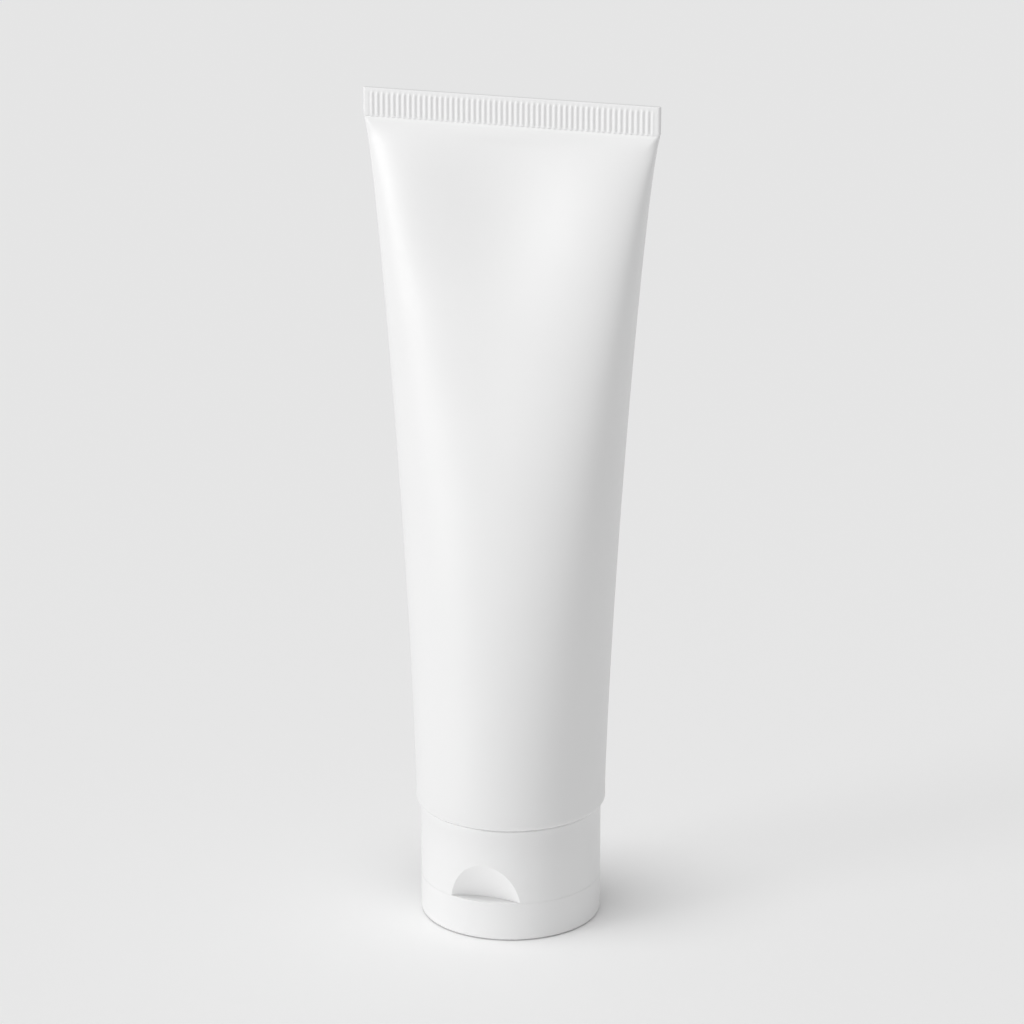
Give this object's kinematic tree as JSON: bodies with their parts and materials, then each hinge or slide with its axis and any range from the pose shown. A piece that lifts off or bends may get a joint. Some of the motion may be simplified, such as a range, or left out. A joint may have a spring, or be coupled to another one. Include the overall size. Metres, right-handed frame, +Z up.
{
  "type": "toothpaste tube",
  "caption": "Full squeeze tube of toothpaste: a round plastic sleeve pressed flat at a ribbed tail, standing on a flip-top cap with a thumb scoop and a film hinge.",
  "frame": {"origin": "centre of the closed lid's flat outer face, on which the tube stands", "axes": "+Z up from the cap to the tail, X along the flat tail, -Y towards the thumb scoop, +Y towards the hinge"},
  "size_m": [0.0596, 0.038, 0.1676],
  "materials": {
    "sleeve_plastic": "smooth white polyethylene, satin",
    "head_plastic": "plain white moulding",
    "paste": "smooth white paste",
    "cap_plastic": "smooth white polypropylene, satin"
  },
  "bodies": {
    "tube": {"tube_sleeve": "sleeve_plastic", "tube_head": "head_plastic", "toothpaste": "paste", "cap_base": "cap_plastic", "living_hinge": "cap_plastic"},
    "lid": {"cap_lid": "cap_plastic"}
  },
  "joints": [
    {"name": "lid_hinge", "type": "hinge", "parent": "tube", "child": "lid", "pos_m": [0, 0.01727, 0.008], "axis": [1, 0, 0], "range_deg": [0, 150], "deforming": ["living_hinge"]}
  ]
}
